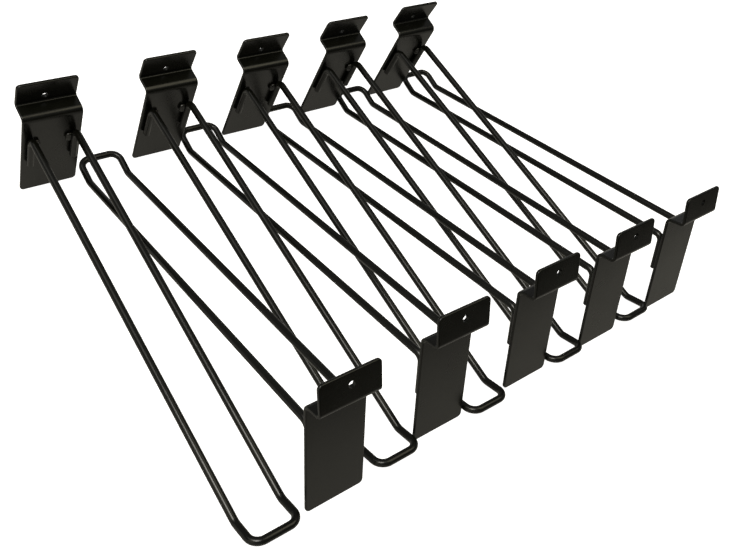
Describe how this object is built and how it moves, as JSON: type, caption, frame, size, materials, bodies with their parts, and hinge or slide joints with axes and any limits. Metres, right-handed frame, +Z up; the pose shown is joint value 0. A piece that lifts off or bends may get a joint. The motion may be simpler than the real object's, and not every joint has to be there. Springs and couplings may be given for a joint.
{
  "type": "slatwall display hook set",
  "caption": "Row of identical slatwall display hooks, each a bent sheet backplate with a hooked ledge and a welded U-shaped wire with a kicked-up tip.",
  "frame": {"origin": "middle of the footprint of the row of hooks, on the surface they stand on", "axes": "+Z up, +X along the row, the far hooks point towards -Y and the near hooks towards +Y"},
  "size_m": [0.4062, 0.3374, 0.0985],
  "materials": {
    "powder_coat_plate": "satin black powder coat",
    "powder_coat_rod": "satin black powder coat",
    "powder_coat_weld": "satin black powder coat over weld"
  },
  "bodies": {
    "hook_01": {"hook_01_backplate": "powder_coat_plate", "hook_01_wire": "powder_coat_rod", "hook_01_welds": "powder_coat_weld"},
    "hook_02": {"hook_02_backplate": "powder_coat_plate", "hook_02_wire": "powder_coat_rod", "hook_02_welds": "powder_coat_weld"},
    "hook_03": {"hook_03_backplate": "powder_coat_plate", "hook_03_wire": "powder_coat_rod", "hook_03_welds": "powder_coat_weld"},
    "hook_04": {"hook_04_backplate": "powder_coat_plate", "hook_04_wire": "powder_coat_rod", "hook_04_welds": "powder_coat_weld"},
    "hook_05": {"hook_05_backplate": "powder_coat_plate", "hook_05_wire": "powder_coat_rod", "hook_05_welds": "powder_coat_weld"},
    "hook_06": {"hook_06_backplate": "powder_coat_plate", "hook_06_wire": "powder_coat_rod", "hook_06_welds": "powder_coat_weld"},
    "hook_07": {"hook_07_backplate": "powder_coat_plate", "hook_07_wire": "powder_coat_rod", "hook_07_welds": "powder_coat_weld"},
    "hook_08": {"hook_08_backplate": "powder_coat_plate", "hook_08_wire": "powder_coat_rod", "hook_08_welds": "powder_coat_weld"},
    "hook_09": {"hook_09_backplate": "powder_coat_plate", "hook_09_wire": "powder_coat_rod", "hook_09_welds": "powder_coat_weld"},
    "hook_10": {"hook_10_backplate": "powder_coat_plate", "hook_10_wire": "powder_coat_rod", "hook_10_welds": "powder_coat_weld"}
  },
  "joints": [
    {"name": "hook_02_lift", "type": "slide", "parent": "hook_01", "child": "hook_02", "axis": [0, 0, 1], "range_m": [0, 0.12]},
    {"name": "hook_03_lift", "type": "slide", "parent": "hook_01", "child": "hook_03", "axis": [0, 0, 1], "range_m": [0, 0.12]},
    {"name": "hook_04_lift", "type": "slide", "parent": "hook_01", "child": "hook_04", "axis": [0, 0, 1], "range_m": [0, 0.12]},
    {"name": "hook_05_lift", "type": "slide", "parent": "hook_01", "child": "hook_05", "axis": [0, 0, 1], "range_m": [0, 0.12]},
    {"name": "hook_06_lift", "type": "slide", "parent": "hook_01", "child": "hook_06", "axis": [0, 0, 1], "range_m": [0, 0.12]},
    {"name": "hook_07_lift", "type": "slide", "parent": "hook_01", "child": "hook_07", "axis": [0, 0, 1], "range_m": [0, 0.12]},
    {"name": "hook_08_lift", "type": "slide", "parent": "hook_01", "child": "hook_08", "axis": [0, 0, 1], "range_m": [0, 0.12]},
    {"name": "hook_09_lift", "type": "slide", "parent": "hook_01", "child": "hook_09", "axis": [0, 0, 1], "range_m": [0, 0.12]},
    {"name": "hook_10_lift", "type": "slide", "parent": "hook_01", "child": "hook_10", "axis": [0, 0, 1], "range_m": [0, 0.12]}
  ]
}
